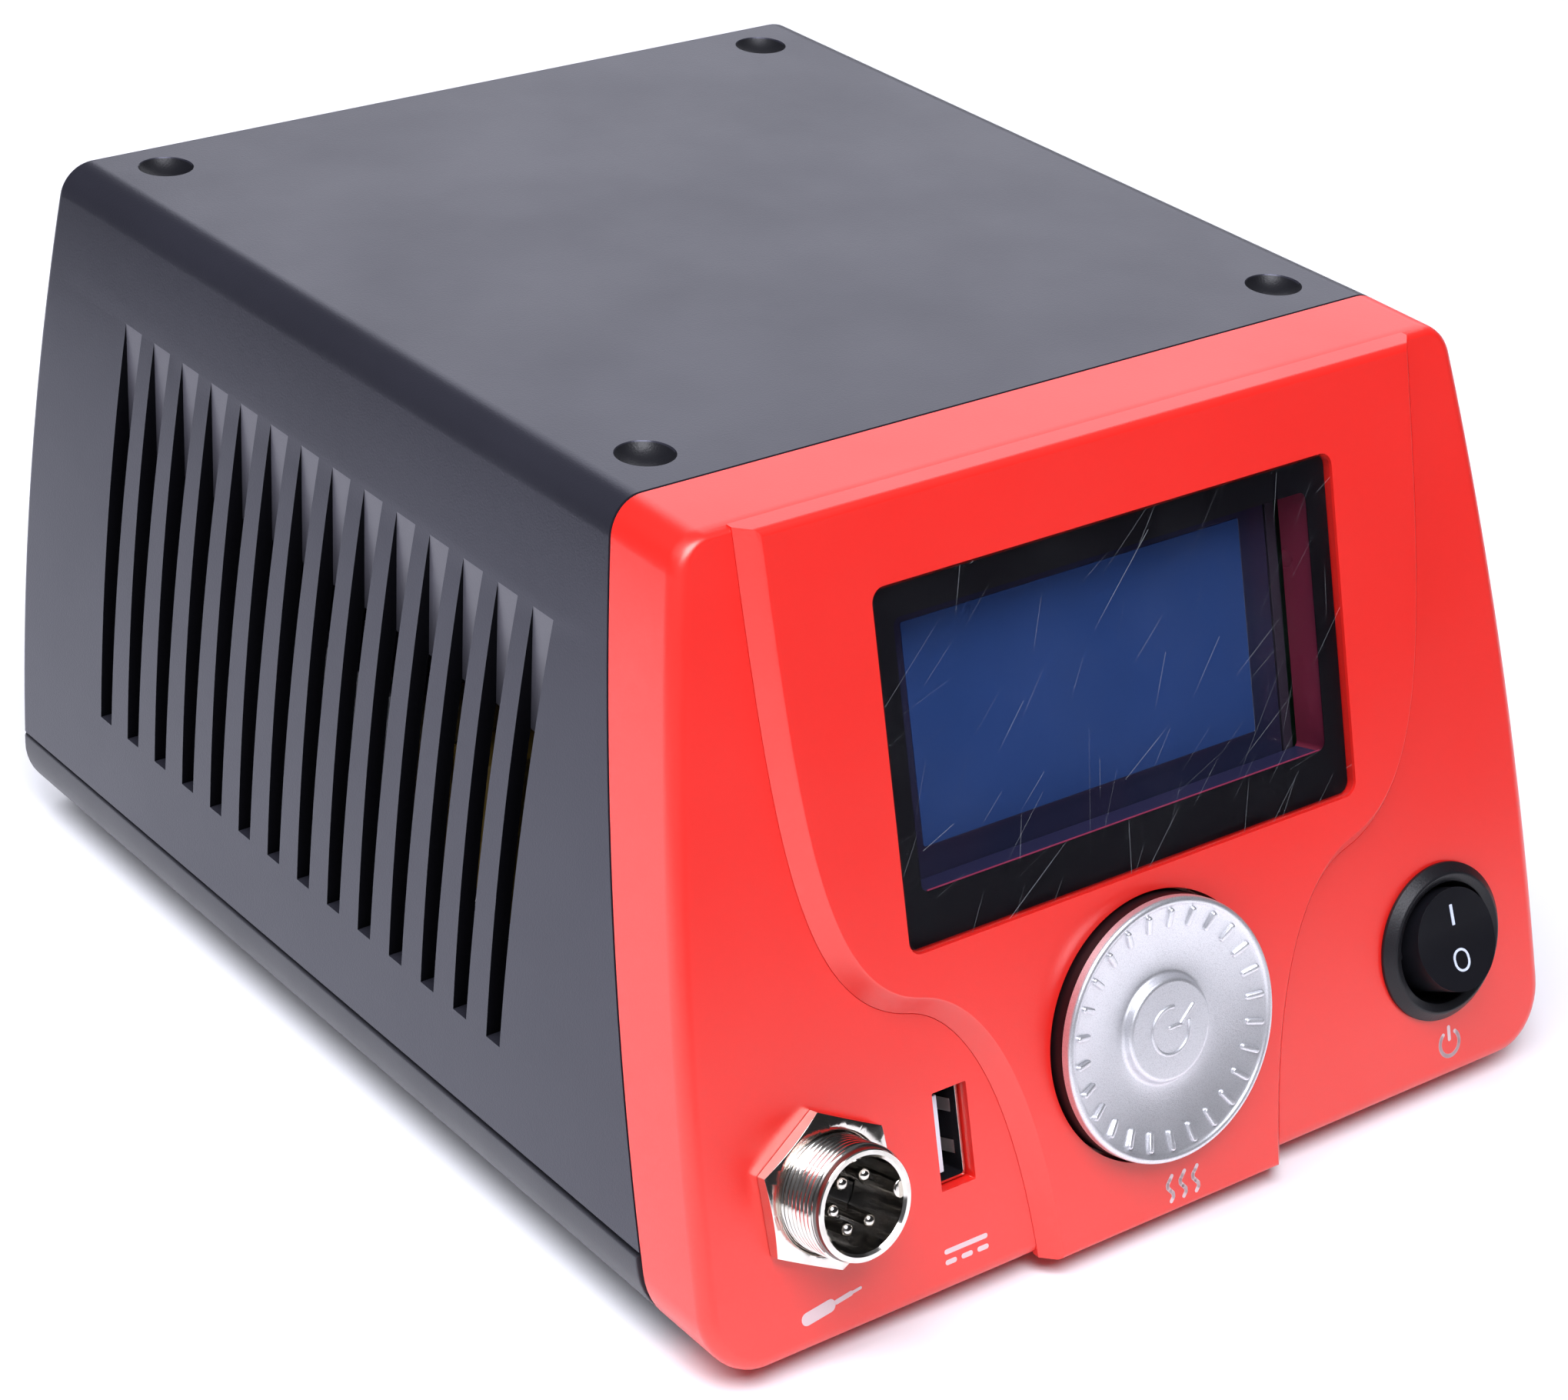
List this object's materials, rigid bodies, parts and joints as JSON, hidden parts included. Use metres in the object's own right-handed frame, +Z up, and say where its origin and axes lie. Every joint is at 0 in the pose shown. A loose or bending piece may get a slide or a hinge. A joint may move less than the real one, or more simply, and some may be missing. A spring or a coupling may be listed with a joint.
{
  "type": "soldering iron station",
  "caption": "Benchtop soldering station base with a leaning front: display, push-and-turn knob, round rocker switch, round iron socket and USB outlet, vented plastic case, rear mains inlet.",
  "frame": {"origin": "on the table under the middle of the station's bounding box, at the soles of the feet", "axes": "+X to the right seen from the front, +Y from the front panel to the rear wall, +Z up"},
  "size_m": [0.1512, 0.1858, 0.107],
  "materials": {
    "housing_plastic": "satin, fine moulded texture, dark grey",
    "bezel_plastic": "satin, fine moulded texture, bright red",
    "window_acrylic": "polished, clear in the middle with a black printed border",
    "black_plastic": "satin, fine texture",
    "display_glass": "polished, unlit blue display",
    "circuit_board": "green solder mask",
    "bright_steel": "plain",
    "white_plastic": "plain",
    "knob_silver": "satin silver paint with a fine sparkle",
    "brass": "plain",
    "nickel": "bright nickel plate",
    "fuse_glass": "clear tube with metal caps",
    "earth_plastic": "yellow and green",
    "coil_tape": "yellow tape",
    "component_black": "sleeved",
    "aluminium": "black anodised",
    "foot_rubber": "matt",
    "screw_steel": "zinc plate"
  },
  "bodies": {
    "case": {"upper_housing": "housing_plastic", "base_tray": "housing_plastic", "front_bezel": "bezel_plastic", "foot_front_left": "foot_rubber", "foot_rear_left": "foot_rubber", "foot_front_right": "foot_rubber", "foot_rear_right": "foot_rubber", "case_screw_1": "screw_steel", "case_screw_2": "screw_steel", "case_screw_3": "screw_steel", "case_screw_4": "screw_steel", "display_window": "window_acrylic", "lcd_frame": "black_plastic", "lcd_glass": "display_glass", "control_board": "circuit_board", "encoder_body": "bright_steel", "rocker_housing": "black_plastic", "rocker_terminal_upper": "brass", "rocker_terminal_lower": "brass", "socket_shell": "nickel", "socket_nut": "nickel", "socket_insulator": "black_plastic", "usb_shell": "nickel", "usb_tongue": "white_plastic", "socket_pin_1": "nickel", "socket_pin_2": "nickel", "socket_pin_3": "nickel", "socket_pin_4": "nickel", "socket_pin_5": "nickel", "board_screw_1": "screw_steel", "board_screw_2": "screw_steel", "board_screw_3": "screw_steel", "board_screw_4": "screw_steel", "rear_plate": "housing_plastic", "inlet_body": "black_plastic", "inlet_pin_live": "brass", "inlet_pin_neutral": "brass", "inlet_pin_earth": "brass", "earth_jack": "earth_plastic", "earth_jack_nut": "brass", "transformer_core": "bright_steel", "transformer_coil": "coil_tape", "transformer_strap": "bright_steel", "strap_screw_left": "bright_steel", "strap_screw_right": "bright_steel", "power_board": "circuit_board", "filter_capacitor": "component_black", "heat_sink": "aluminium", "power_transistor": "component_black", "terminal_block": "white_plastic"},
    "encoder_rotor": {"encoder_rotor": "white_plastic"},
    "knob": {"control_knob": "knob_silver", "encoder_shaft": "bright_steel"},
    "rocker": {"rocker_button": "black_plastic"},
    "fuse_drawer": {"fuse_drawer": "black_plastic", "mains_fuse": "fuse_glass"}
  },
  "joints": [
    {"name": "knob_spin", "type": "hinge", "parent": "case", "child": "encoder_rotor", "pos_m": [0, -0.08322, 0.02906], "axis": [0, -0.9617, 0.274], "continuous": true},
    {"name": "knob_push", "type": "slide", "parent": "encoder_rotor", "child": "knob", "axis": [0, 0.9617, -0.274], "range_m": [0, 0.0005], "stiffness_N_per_m": 4000, "springref_m": -0.0005},
    {"name": "power_rock", "type": "hinge", "parent": "case", "child": "rocker", "pos_m": [0.0554, -0.08138, 0.02313], "axis": [1, 0, 0], "range_deg": [0, 24]},
    {"name": "fuse_drawer_slide", "type": "slide", "parent": "case", "child": "fuse_drawer", "axis": [0, 1, 0], "range_m": [0, 0.013]}
  ]
}
